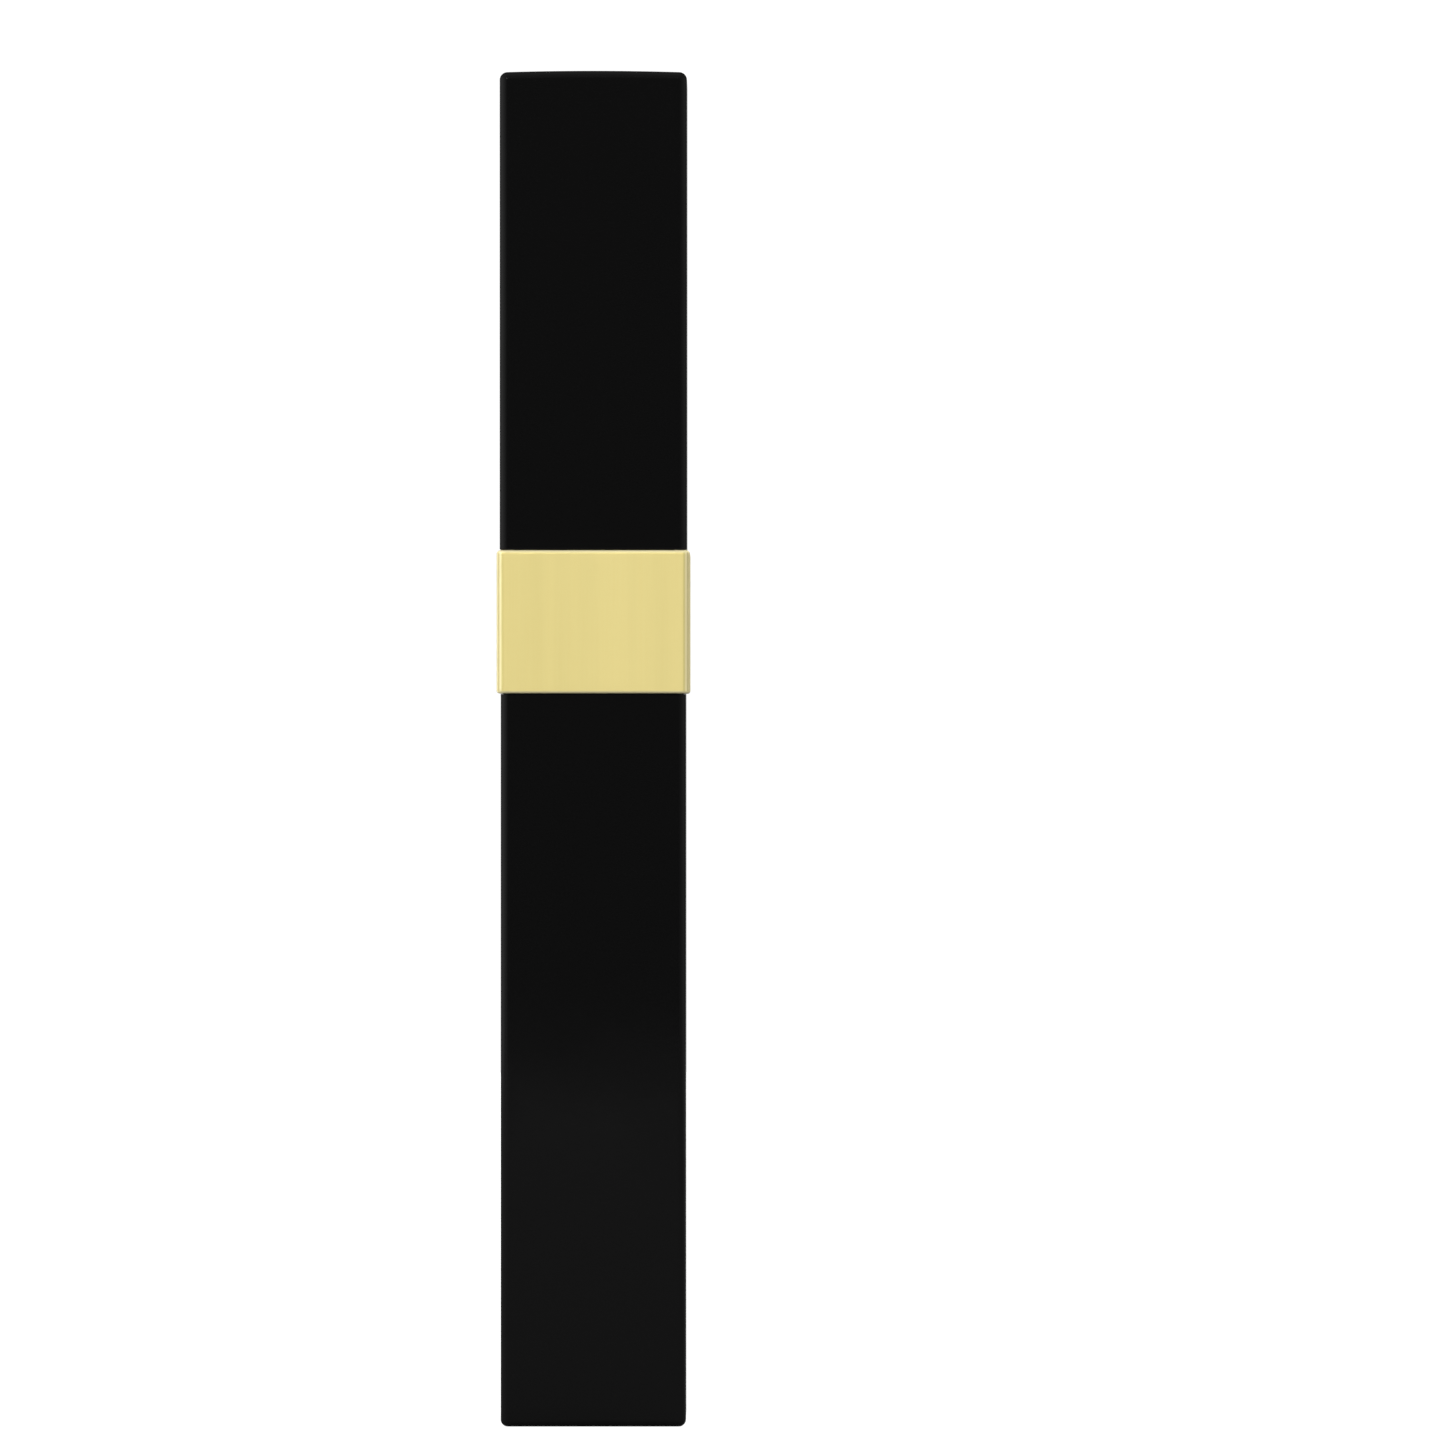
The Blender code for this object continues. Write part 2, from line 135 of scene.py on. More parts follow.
# %% World
# How bright the world is along Y, from behind the camera (-1) to behind the tube (1)
FRONT_TO_BACK = ((-0.99, 0.02), (-0.92, 0.22), (-0.79, 0.45), (-0.59, 0.66), (-0.34, 0.83),
                 (0.0, 1.0), (0.36, 0.38), (0.7, 0.25))


def fade(tree, value, start, end, low, high):
    """A node that goes smoothly from low to high while the value goes from start to end."""
    made = tree.nodes.new("ShaderNodeMapRange")
    made.interpolation_type = "SMOOTHSTEP"
    for socket, number in (("From Min", start), ("From Max", end), ("To Min", low),
                           ("To Max", high)):
        made.inputs[socket].default_value = number
    link(tree, value, made, "Value")
    return made.outputs["Result"]


def product(tree, first, second):
    made = tree.nodes.new("ShaderNodeMath")
    made.operation = "MULTIPLY"
    link(tree, first, made, 0)
    link(tree, second, made, 1)
    return made.outputs["Value"]


def light_world(strength, right, overhead):
    """White for the camera's rays; a soft room with a dark front for light and reflections."""
    world = bpy.data.worlds.new("studio")
    bpy.context.scene.world = world
    world.use_nodes = True
    tree = world.node_tree
    place = tree.nodes.new("ShaderNodeTexCoord")
    split = tree.nodes.new("ShaderNodeSeparateXYZ")
    link(tree, place.outputs["Generated"], split, "Vector")
    along = tree.nodes.new("ShaderNodeMapRange")
    along.inputs["From Min"].default_value = -1
    link(tree, split.outputs["Y"], along, "Value")
    ramp = tree.nodes.new("ShaderNodeValToRGB")
    link(tree, along.outputs["Result"], ramp, "Fac")
    stops = ramp.color_ramp.elements
    while len(stops) < len(FRONT_TO_BACK):
        stops.new(0.5)
    for stop, (position, brightness) in zip(stops, FRONT_TO_BACK):
        stop.position = (position + 1) / 2
        stop.color = (brightness, brightness, brightness, 1)
    room = product(tree, ramp.outputs["Color"], fade(tree, split.outputs["X"], -0.2, 0.6, 1, right))
    room = product(tree, room, fade(tree, split.outputs["Z"], 0.15, 0.7, strength,
                                    strength * overhead))
    path = tree.nodes.new("ShaderNodeLightPath")
    choice = tree.nodes.new("ShaderNodeMapRange")
    choice.inputs["To Max"].default_value = 1.05
    link(tree, path.outputs["Is Camera Ray"], choice, "Value")
    link(tree, room, choice, "To Min")
    link(tree, choice.outputs["Result"], tree.nodes["Background"], "Strength")
    tree.nodes["Background"].inputs["Color"].default_value = (1, 1, 1, 1)


light_world(strength=1.2, right=0.45, overhead=0.4)
print("the world has", len(FRONT_TO_BACK), "steps of brightness")

# %% Soft panels
TUBE_MIDDLE = Vector((0, 0, 0.07))


def add_panel(name, place, width, height, power, mirrored=False):
    """A soft rectangular light that faces the tube; unless mirrored, reflections leave it out."""
    direction = TUBE_MIDDLE - Vector(place)
    rotation = direction.to_track_quat("-Z", "Y").to_euler()
    bpy.ops.object.light_add(type="AREA", location=place, rotation=rotation)
    panel = bpy.context.object
    panel.name = name
    panel.data.shape = "RECTANGLE"
    panel.data.size = width
    panel.data.size_y = height
    panel.data.energy = power
    panel.visible_glossy = mirrored


add_panel("front_panel", (-0.4, -1.3, 0.7), 1.2, 0.9, 31.5)
add_panel("back_panel", (0.4, 1.2, 0.9), 1.2, 0.9, 28)
add_panel("right_panel", (1.3, 0.2, 0.6), 1.0, 0.9, 18)
add_panel("left_panel", (-1.3, 0.2, 0.6), 1.0, 0.9, 18)
add_panel("sparkle", (-0.35, -1.2, 0.65), 0.14, 0.14, 1.0, mirrored=True)

scene = bpy.context.scene
scene.view_settings.view_transform = "Standard"
scene.view_settings.look = "None"

# %% [markdown]
# ## Materials
#
# Every finish is a Principled shader. Noise varies its roughness and its surface relief a little,
# and in most finishes its colour too. The noise reads Object coordinates, in metres, so a scale of
# 1000 makes grains about a millimetre across. Short helpers keep the node trees readable. They add
# a node, make a noise pattern, mix two colours, measure how near a point is to an edge, or stack a
# layer of relief on the shader's normal.

# %% Helpers for materials
def new_finish(name, color, roughness, **values):
    """A material whose Principled shader has these constant values."""
    finish = bpy.data.materials.new(name)
    finish.use_nodes = True
    shader = finish.node_tree.nodes["Principled BSDF"]
    shader.inputs["Base Color"].default_value = (*color, 1)
    shader.inputs["Roughness"].default_value = roughness
    for socket, value in values.items():
        shader.inputs[socket.replace("_", " ")].default_value = value
    return finish


def add_node(finish, kind, inputs, **settings):
    """Add a node; each input is a number, or the output that feeds it."""
    made = finish.node_tree.nodes.new(kind)
    for key, value in settings.items():
        setattr(made, key, value)
    for key, value in inputs.items():
        if isinstance(value, bpy.types.NodeSocket):
            finish.node_tree.links.new(value, made.inputs[key])
        else:
            made.inputs[key].default_value = value
    return made


def noise(finish, scale, stretch=(1, 1, 1), detail=3.0):
    """A noise pattern on the piece; a stretch below 1 draws it out along that axis."""
    place = add_node(finish, "ShaderNodeTexCoord", {}).outputs["Object"]
    mapping = add_node(finish, "ShaderNodeMapping", {"Vector": place, "Scale": stretch})
    texture = add_node(finish, "ShaderNodeTexNoise", {
        "Vector": mapping.outputs["Vector"], "Scale": scale, "Detail": detail})
    return texture.outputs["Fac"]


def between(finish, value, low, high, start=0.3, end=0.7):
    """Stretch a pattern so that it runs from low to high."""
    return add_node(finish, "ShaderNodeMapRange", {
        "Value": value, "From Min": start, "From Max": end, "To Min": low, "To Max": high},
        interpolation_type="SMOOTHSTEP").outputs["Result"]


def mix_colors(finish, factor, first, second):
    """Go from one colour to another; each is three numbers, or the output that gives it."""
    mixed = add_node(finish, "ShaderNodeMix", {}, data_type="RGBA")
    sockets = [socket for socket in mixed.inputs if socket.enabled]
    finish.node_tree.links.new(factor, sockets[0])
    for socket, color in zip(sockets[1:], (first, second)):
        if isinstance(color, bpy.types.NodeSocket):
            finish.node_tree.links.new(color, socket)
        else:
            socket.default_value = (*color, 1)
    return next(output for output in mixed.outputs if output.enabled)


def feed(finish, socket, output):
    shader = finish.node_tree.nodes["Principled BSDF"]
    finish.node_tree.links.new(output, shader.inputs[socket])


def relief(finish, height, depth):
    """Press a pattern into the surface; a second call adds to the first."""
    normal = finish.node_tree.nodes["Principled BSDF"].inputs["Normal"]
    inputs = {"Height": height, "Distance": depth, "Strength": 1.0}
    if normal.is_linked:
        inputs["Normal"] = normal.links[0].from_socket
    feed(finish, "Normal", add_node(finish, "ShaderNodeBump", inputs).outputs["Normal"])


def side_distance(finish):
    """Distance from the upright middle planes: it is greatest along a square piece's edges."""
    place = add_node(finish, "ShaderNodeTexCoord", {}).outputs["Object"]
    absolute = add_node(finish, "ShaderNodeVectorMath", {0: place}, operation="ABSOLUTE")
    split = add_node(finish, "ShaderNodeSeparateXYZ", {"Vector": absolute.outputs["Vector"]})
    return add_node(finish, "ShaderNodeMath", {0: split.outputs["X"], 1: split.outputs["Y"]},
                    operation="MINIMUM").outputs["Value"]


def near_edges(finish, width, start, end):
    """1 along the upright edges of a square piece, 0 on its flat sides."""
    return between(finish, side_distance(finish), 0.0, 1.0, width / 2 - start, width / 2 - end)


def color_steps(finish, value, start, end, colors):
    """Colours at evenly spaced steps while the value goes from start to end."""
    share = add_node(finish, "ShaderNodeMapRange", {"Value": value, "From Min": start,
                                                    "From Max": end}).outputs["Result"]
    ramp = add_node(finish, "ShaderNodeValToRGB", {"Fac": share})
    stops = ramp.color_ramp.elements
    while len(stops) < len(colors):
        stops.new(0.5)
    for index, (stop, color) in enumerate(zip(stops, colors)):
        stop.position = index / (len(colors) - 1)
        stop.color = (*color, 1)
    return ramp.outputs["Color"]


# %% [markdown]
# ### Gloss black, for the casing and the cap
#
# Polished styrene: almost no colour of its own, and a clear reflection. Three things keep it from
# looking like a computer's black. Its roughness drifts over centimetres, as polishing leaves it.
# A very shallow waviness bends the reflections. And the edges, which rub against other things in a
# bag, are a touch duller and paler than the faces.

# %% Gloss black
FACE_BLACK = (0.0031, 0.0031, 0.0031)
RUBBED_BLACK = (0.004, 0.004, 0.004)
SHELL_WIDTH = 18.6 * MM  # between the casing's 18.5 and the cap's 18.7


def make_gloss_black():
    finish = new_finish("gloss_black", FACE_BLACK, 0.07, Specular_IOR_Level=0.14)
    polish = between(finish, noise(finish, 90.0), 0.045, 0.085)
    rub = near_edges(finish, SHELL_WIDTH, 0.75 * MM, 0.1 * MM)
    scuffs = between(finish, noise(finish, 2500.0, (1, 1, 0.08)), 0.0, 0.12, 0.55, 0.8)
    worn = add_node(finish, "ShaderNodeMath", {0: rub, 1: scuffs}, operation="MULTIPLY")
    total = add_node(finish, "ShaderNodeMath", {0: polish, 1: worn.outputs["Value"]},
                     operation="ADD")
    feed(finish, "Roughness", total.outputs["Value"])
    feed(finish, "Base Color", mix_colors(finish, rub, FACE_BLACK, RUBBED_BLACK))
    relief(finish, noise(finish, 130.0, (1, 1, 0.5), detail=1.0), 0.004 * MM)
    relief(finish, noise(finish, 9000.0, detail=2.0), 0.0002 * MM)
    return finish


gloss_black = make_gloss_black()
print("gloss_black:", len(gloss_black.node_tree.nodes), "nodes")

# %% [markdown]
# ### Pale gold, for the collar
#
# Anodised aluminium with a satin lacquer, brushed upright before it was coloured. The grain is
# noise drawn out sixty times along Z, both as roughness and as relief, and broad, faint bands run
# the same way. The upright edges carry painted light: they go from olive painted shade to a pale
# painted highlight line and a dark painted reflection, and the two ends have a pale painted
# highlight rim. Both are picked out by place, not by light.

# %% Pale gold
GOLD_LIGHT = (0.93, 0.79, 0.325)
GOLD_DARK = (0.87, 0.74, 0.295)
# painted highlight: the bright line on the upright bends, and the rim along both ends
GOLD_HIGHLIGHT = (1.0, 0.90, 0.52)
# painted shade where the upright bends turn away
GOLD_OLIVE_SHADE = (0.85, 0.72, 0.28)
GOLD_DEEPER_SHADE = (0.78, 0.67, 0.26)
# painted reflection of dark surroundings: a dark line at the outer bend
GOLD_DARK_REFLECTION = (0.55, 0.46, 0.2)
PAINTED_BEND_START = 0.75 * MM  # how far the painted shade and highlight of the bends reach in from the collar's side


def make_pale_gold(width, low, high):
    finish = new_finish("pale_gold", GOLD_LIGHT, 0.48, Metallic=0.6)
    bands = color_steps(finish, noise(finish, 260.0, (1, 1, 0.03), detail=2.0), 0.3, 0.7,
                        (GOLD_DARK, GOLD_LIGHT))
    side = side_distance(finish)
    edge = width / 2
    # painted light across the upright bends: painted shade, a painted highlight line and a dark
    # painted reflection
    bend_shade_and_highlight = color_steps(finish, side, edge - PAINTED_BEND_START, edge - 0.2 * MM,
                       (GOLD_OLIVE_SHADE, GOLD_DEEPER_SHADE, GOLD_HIGHLIGHT, GOLD_DARK_REFLECTION))
    place = add_node(finish, "ShaderNodeTexCoord", {}).outputs["Object"]
    up = add_node(finish, "ShaderNodeSeparateXYZ", {"Vector": place}).outputs["Z"]
    from_middle = add_node(finish, "ShaderNodeMath", {0: up, 1: (low + high) / 2},
                           operation="SUBTRACT").outputs["Value"]
    to_end = add_node(finish, "ShaderNodeMath", {0: from_middle}, operation="ABSOLUTE")
    half = (high - low) / 2
    # a pale painted highlight along both ends of the collar
    rim = between(finish, to_end.outputs["Value"], 0.0, 1.0, half - 0.3 * MM, half - 0.15 * MM)
    on_painted_bend = between(finish, side, 0.0, 1.0, edge - PAINTED_BEND_START, edge - 0.65 * MM)
    color = mix_colors(finish, on_painted_bend, bands, bend_shade_and_highlight)
    feed(finish, "Base Color", mix_colors(finish, rim, color, GOLD_HIGHLIGHT))
    grain = noise(finish, 7000.0, (1, 1, 1 / 60), detail=4.0)
    feed(finish, "Roughness", between(finish, grain, 0.43, 0.53))
    relief(finish, grain, 0.0012 * MM)
    return finish


collar_low, collar_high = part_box("gold_collar")
pale_gold = make_pale_gold(collar_high.x - collar_low.x, collar_low.z, collar_high.z)
print("pale_gold:", len(pale_gold.node_tree.nodes), "nodes")

# %% [markdown]
# ### Moulded plastics, soft parts, metal and film
#
# The stem, neck and liner come out of spark-eroded moulds, so they are satin with a grain of about
# a tenth of a millimetre. The brush is softer and slightly smoother. The wiper is milky
# polyethylene, which lets a little light through. The weight is turned steel with fine rings. The
# brush's thorns have paler points, a painted glint, and the points are found by their distance
# from the axis.

# %% Other finishes
# paler colour at the thorn points: a painted glint
GLINT_BLACK = (0.03, 0.03, 0.03)
GLINT_POINTS = (4.15 * MM, 4.28 * MM)  # from the axis, where the painted glint starts and is complete


def make_moulded(name, color, roughness, grain, depth, **values):
    """Satin plastic: a fine even grain, and slow changes in how dull it is."""
    finish = new_finish(name, color, roughness, **values)
    cloud = noise(finish, 150.0)
    feed(finish, "Roughness", between(finish, cloud, roughness - 0.05, roughness + 0.06))
    paler = tuple(min(1.0, 1.3 * channel) for channel in color)
    feed(finish, "Base Color", mix_colors(finish, between(finish, cloud, 0, 1), color, paler))
    relief(finish, noise(finish, grain, detail=4.0), depth)
    return finish


def make_brush_black(tip_start, tip_end):
    """Soft black moulding whose thorns have paler points, a painted glint, told by their distance
    out.
    """
    finish = make_moulded("brush_black", (0.0016, 0.0016, 0.0016), 0.3, 12000.0, 0.001 * MM,
                          Specular_IOR_Level=0.2)
    place = add_node(finish, "ShaderNodeTexCoord", {}).outputs["Object"]
    across = add_node(finish, "ShaderNodeVectorMath", {0: place, 1: (1, 1, 0)},
                      operation="MULTIPLY").outputs["Vector"]
    outward = add_node(finish, "ShaderNodeVectorMath", {0: across},
                       operation="LENGTH").outputs["Value"]
    base_color = finish.node_tree.nodes["Principled BSDF"].inputs["Base Color"]
    # the paler points are a painted glint
    glint_at_point = between(finish, outward, 0, 1, tip_start, tip_end)
    feed(finish, "Base Color", mix_colors(finish, glint_at_point, base_color.links[0].from_socket,
                                          GLINT_BLACK))
    return finish


def make_turned_steel():
    """Bright steel with the lathe's fine rings on its side, and a little uneven dullness."""
    finish = new_finish("turned_steel", (0.46, 0.46, 0.47), 0.3, Metallic=1.0)
    rings = noise(finish, 4000.0, (0.02, 0.02, 1), detail=3.0)
    feed(finish, "Roughness", between(finish, noise(finish, 300.0), 0.24, 0.42))
    relief(finish, rings, 0.003 * MM)
    return finish


def make_label_film():
    """Silver-grey film: satin, with a fine fleck and a slight ripple from being pressed on."""
    finish = new_finish("label_film", (0.52, 0.52, 0.53), 0.38, Metallic=0.6)
    fleck = noise(finish, 12000.0, detail=2.0)
    feed(finish, "Base Color", mix_colors(finish, between(finish, fleck, 0, 1),
                                          (0.49, 0.49, 0.50), (0.58, 0.58, 0.59)))
    feed(finish, "Roughness", between(finish, fleck, 0.32, 0.45))
    relief(finish, noise(finish, 400.0, detail=1.0), 0.01 * MM)
    return finish


satin_black = make_moulded("satin_black", (0.0022, 0.0022, 0.0019), 0.34, 9000.0, 0.002 * MM,
                           Specular_IOR_Level=0.16)
neck_black = make_moulded("neck_black", (0.0034, 0.0034, 0.0034), 0.28, 9000.0, 0.002 * MM,
                          Specular_IOR_Level=0.3)
brush_black = make_brush_black(*GLINT_POINTS)
liner_grey = make_moulded("liner_grey", (0.022, 0.022, 0.024), 0.42, 8000.0, 0.003 * MM)
wiper_milk = make_moulded("wiper_milk", (0.44, 0.435, 0.40), 0.4, 7000.0, 0.002 * MM,
                          Subsurface_Weight=0.3, Subsurface_Scale=0.001)
seal_foam = make_moulded("seal_foam", (0.68, 0.67, 0.63), 0.75, 5000.0, 0.02 * MM)
wet_black = make_moulded("wet_black", (0.004, 0.004, 0.0045), 0.2, 700.0, 0.08 * MM)
turned_steel = make_turned_steel()
label_film = make_label_film()
print("finishes:", ", ".join(m.name for m in bpy.data.materials if m.use_nodes))

# %% [markdown]
# ## Helpers for modelling
#
# Each piece starts as a primitive with nothing else selected, is shaped in edit mode, and ends
# with its place in its mesh. Faces and edges are selected by where they are, so the same code works
# when a size changes.

# %% Helpers for modelling
def start_piece(name, add_primitive, **settings):
    """Add a primitive on its own, name it, and put its place and size into its mesh."""
    bpy.ops.object.select_all(action="DESELECT")
    add_primitive(**settings)
    piece = bpy.context.object
    piece.name = piece.data.name = name
    bpy.ops.object.transform_apply(location=True, rotation=True, scale=True)
    return piece


def choose(piece, kind, wanted):
    """In edit mode, select only the vertices, edges or faces that pass the test."""
    bpy.ops.mesh.select_mode(type=kind)
    bpy.ops.mesh.select_all(action="DESELECT")
    mesh = bmesh.from_edit_mesh(piece.data)
    for element in {"VERT": mesh.verts, "EDGE": mesh.edges, "FACE": mesh.faces}[kind]:
        if wanted(element):
            element.select_set(True)
    bmesh.update_edit_mesh(piece.data)


def lies_at(height):
    """A test for elements whose vertices all lie at this height."""
    return lambda element: all(abs(v.co.z - height) < 0.01 * MM for v in element.verts)


def round_rim_at(height):
    """A test for the edges where flat faces at this height meet the sides."""
    def wanted(edge):
        return lies_at(height)(edge) and any(abs(f.normal.z) < 0.5 for f in edge.link_faces)
    return wanted


def bevel(radius, segments):
    bpy.ops.mesh.bevel(offset=radius, segments=segments, profile=0.5, affect="EDGES")


def combine(piece, tool, operation, solver="EXACT"):
    """Join the tool to the piece, or cut the piece with it; the tool is used up."""
    boolean = piece.modifiers.new("Combine", "BOOLEAN")
    boolean.operation = operation
    boolean.solver = solver
    boolean.object = tool
    bpy.context.view_layer.objects.active = piece
    bpy.ops.object.modifier_apply(modifier=boolean.name)
    bpy.data.objects.remove(tool)


def finish_piece(piece, node, finish, sharp_angle=40):
    """Shade the piece, give it its finish, and say which node it stands for."""
    bpy.ops.object.select_all(action="DESELECT")
    piece.select_set(True)
    bpy.context.view_layer.objects.active = piece
    bpy.ops.object.shade_smooth_by_angle(angle=math.radians(sharp_angle))
    weighted = piece.modifiers.new("Keep flat faces flat", "WEIGHTED_NORMAL")
    weighted.keep_sharp = True
    bpy.ops.object.modifier_apply(modifier=weighted.name)
    piece.data.materials.clear()
    piece.data.materials.append(finish)
    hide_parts(node)
    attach(piece, BODY_OF[node])
    print(f"{piece.name}: {len(piece.data.polygons)} faces, for {node} on {BODY_OF[node]}")


# %% [markdown]
# ## Square shells
#
# The cap, the casing and the collar are square boxes with rounded edges, hollowed out. A cube is
# stretched to size, its four upright edges are bevelled, and then the edges round an end. The
# hollow is cut by a second such block, because the wall is thicker than the outer edges' radius,
# and pushing the outer faces inwards would fold them over at the corners.

# %% Square block
EDGE_RADIUS = 0.8 * MM
ROUND_STEPS = 10
RIM_STEPS = 3


def at_corner(edge):
    """True for an upright edge on one of the block's four corners."""
    first, second = (v.co for v in edge.verts)
    on_corner = abs(abs(first.x) - abs(first.y)) < 0.01 * MM
    return on_corner and (first - second).xy.length < 0.01 * MM


def square_block(name, width, low, high, edge_radius, low_radius=0.0, high_radius=0.0, cuts=0):
    """A square block with rounded upright edges and, if asked, rounded ends and a grid of cuts."""
    piece = start_piece(name, bpy.ops.mesh.primitive_cube_add, size=1,
                        location=(0, 0, (low + high) / 2), scale=(width, width, high - low))
    bpy.ops.object.mode_set(mode="EDIT")
    if cuts:
        choose(piece, "EDGE", lambda e: lies_at(low)(e) or lies_at(high)(e))
        bpy.ops.mesh.subdivide(number_cuts=cuts)
    choose(piece, "EDGE", at_corner)
    bevel(edge_radius, ROUND_STEPS)
    for height, radius in ((low, low_radius), (high, high_radius)):
        if radius:
            choose(piece, "EDGE", round_rim_at(height))
            bevel(radius, ROUND_STEPS)
    bpy.ops.object.mode_set(mode="OBJECT")
    return piece


def round_rim(piece, height, radius):
    """Break the sharp edges round an open end."""
    bpy.ops.object.mode_set(mode="EDIT")
    choose(piece, "EDGE", round_rim_at(height))
    bevel(radius, RIM_STEPS)
    bpy.ops.object.mode_set(mode="OBJECT")


# %% [markdown]
# ### The cap
#
# A square cup, open at the bottom. Its top is crowned, as moulders do so that a flat face doesn't
# look hollow. The block is given a grid of cuts first. Each point of the top then gets a weight
# that grows with the square of its distance from the middle, and a Displace modifier lowers the
# points by that weight. A weight keeps the rounded rim intact, which a moved ring of points
# would not.

# %% Cap shell
CAP_WALL = 1.3 * MM
CAP_ROOF = 1.6 * MM
CAP_TOP_RADIUS = 0.75 * MM
CAP_CUTS = 19
CROWN = 0.15 * MM
SEAM = 0.06 * MM  # the narrow joint that shows between two neighbouring pieces


def crown_top(piece, above):
    """Let everything above this height fall away from the middle, by CROWN at the sides."""
    group = piece.vertex_groups.new(name="distance from the middle")
    corner = 2 * max(vertex.co.x for vertex in piece.data.vertices) ** 2
    for vertex in piece.data.vertices:
        if vertex.co.z > above:
            group.add([vertex.index], vertex.co.xy.length_squared / corner, "REPLACE")
    crown = piece.modifiers.new("Crown", "DISPLACE")
    crown.direction = "Z"
    crown.mid_level = 0
    crown.strength = -2 * CROWN
    crown.vertex_group = group.name
    bpy.ops.object.modifier_apply(modifier=crown.name)
    piece.vertex_groups.clear()


def make_cap():
    low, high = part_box("cap_casing")
    width = high.x - low.x
    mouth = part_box("gold_collar")[1].z + SEAM
    cap = square_block("cap_shell", width, mouth, high.z, EDGE_RADIUS,
                       high_radius=CAP_TOP_RADIUS, cuts=CAP_CUTS)
    crown_top(cap, (mouth + high.z) / 2)
    hollow = square_block("hollow", width - 2 * CAP_WALL, mouth - MM, high.z - CAP_ROOF,
                          EDGE_RADIUS / 2)
    combine(cap, hollow, "DIFFERENCE")
    round_rim(cap, mouth, 0.08 * MM)
    finish_piece(cap, "cap_casing", gloss_black)


make_cap()

# %% [markdown]
# ### The casing
#
# The lower box has a narrower tongue on top, which the collar slides over, and a shallow recess
# underneath for the label. The tongue is made by insetting the top face and extruding it, so it
# stays part of the same moulding.

# %% Casing shell
CASING_WALL = 1.3 * MM
CASING_FLOOR = 1.6 * MM
BASE_RADIUS = 0.7 * MM
RECESS_DEPTH = 0.45 * MM
RECESS_WIDTH = 11.0 * MM
TONGUE_WIDTH = 18.0 * MM


def make_casing():
    low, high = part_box("bottle_casing")
    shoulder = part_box("gold_collar")[0].z - SEAM
    width = high.x - low.x
    casing = square_block("casing_shell", width, low.z, shoulder, EDGE_RADIUS,
                          low_radius=BASE_RADIUS)
    bpy.ops.object.mode_set(mode="EDIT")
    choose(casing, "FACE", lies_at(shoulder))
    bpy.ops.mesh.inset(thickness=(width - TONGUE_WIDTH) / 2, depth=0)
    bpy.ops.mesh.extrude_region_move(TRANSFORM_OT_translate={"value": (0, 0, high.z - shoulder)})
    bpy.ops.object.mode_set(mode="OBJECT")
    hollow = square_block("hollow", width - 2 * CASING_WALL, CASING_FLOOR, high.z + MM,
                          EDGE_RADIUS / 2)
    combine(casing, hollow, "DIFFERENCE")
    recess = square_block("recess", RECESS_WIDTH, -MM, RECESS_DEPTH, EDGE_RADIUS,
                          high_radius=0.15 * MM)
    combine(casing, recess, "DIFFERENCE")
    finish_piece(casing, "bottle_casing", gloss_black)


make_casing()

# %% [markdown]
# ### The gold collar
#
# A sleeve drawn from thin sheet. Its top edge is turned in over the shoulder, and the bends are
# tight but not sharp, as sheet can't be folded to a point.

# %% Gold collar
SHEET = 0.35 * MM
LIP = 1.35 * MM
COLLAR_EDGE = 0.7 * MM
COLLAR_LOW_RADIUS = 0.3 * MM
COLLAR_HIGH_RADIUS = 0.4 * MM


def make_collar():
    low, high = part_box("gold_collar")
    width = high.x - low.x
    collar = square_block("gold_sleeve", width, low.z, high.z, COLLAR_EDGE,
                          low_radius=COLLAR_LOW_RADIUS, high_radius=COLLAR_HIGH_RADIUS)
    inside = square_block("inside", width - 2 * SHEET, low.z - MM, high.z - SHEET,
                          COLLAR_EDGE - SHEET)
    combine(collar, inside, "DIFFERENCE")
    window = square_block("window", width - 2 * LIP, low.z, high.z + MM, 0.4 * MM)
    combine(collar, window, "DIFFERENCE")
    finish_piece(collar, "gold_collar", pale_gold)


make_collar()

# %% [markdown]
# ## Turned pieces
#
# Everything inside the square shells is round, so it is turned: half of its section is drawn beside
# the Z axis and spun once round it. The drawing starts as a single point, a small plane merged
# into its middle, and each corner is reached by extruding the last point. A corner may carry a
# rounding, which becomes a short arc, because moulded edges are never quite sharp. Outlines and the
# constants used in them are in millimetres, and angles round the axis are in degrees.

# %% Turned pieces
TURN_STEPS = 96


def rounded(corners, arc_steps=4):
    """The points of an outline, from corners of (radius, height, rounding) in metres."""
    points = []
    for index, (radius, height, rounding) in enumerate(corners):
        corner = Vector((radius, 0, height))
        if not rounding:
            points.append(corner)
            continue
        before, after = corners[index - 1], corners[(index + 1) % len(corners)]
        back = (Vector((before[0], 0, before[1])) - corner).normalized()
        ahead = (Vector((after[0], 0, after[1])) - corner).normalized()
        half = back.angle(ahead) / 2
        centre = corner + (back + ahead).normalized() * (rounding / math.sin(half))
        first = (corner + back * (rounding / math.tan(half)) - centre).normalized()
        last = (corner + ahead * (rounding / math.tan(half)) - centre).normalized()
        points += [centre + rounding * first.slerp(last, step / arc_steps)
                   for step in range(arc_steps + 1)]
    return points


def in_mm(*corners):
    """Corners given in millimetres, as metres; a missing rounding is none."""
    return [tuple(value * MM for value in (*corner, 0)[:3]) for corner in corners]


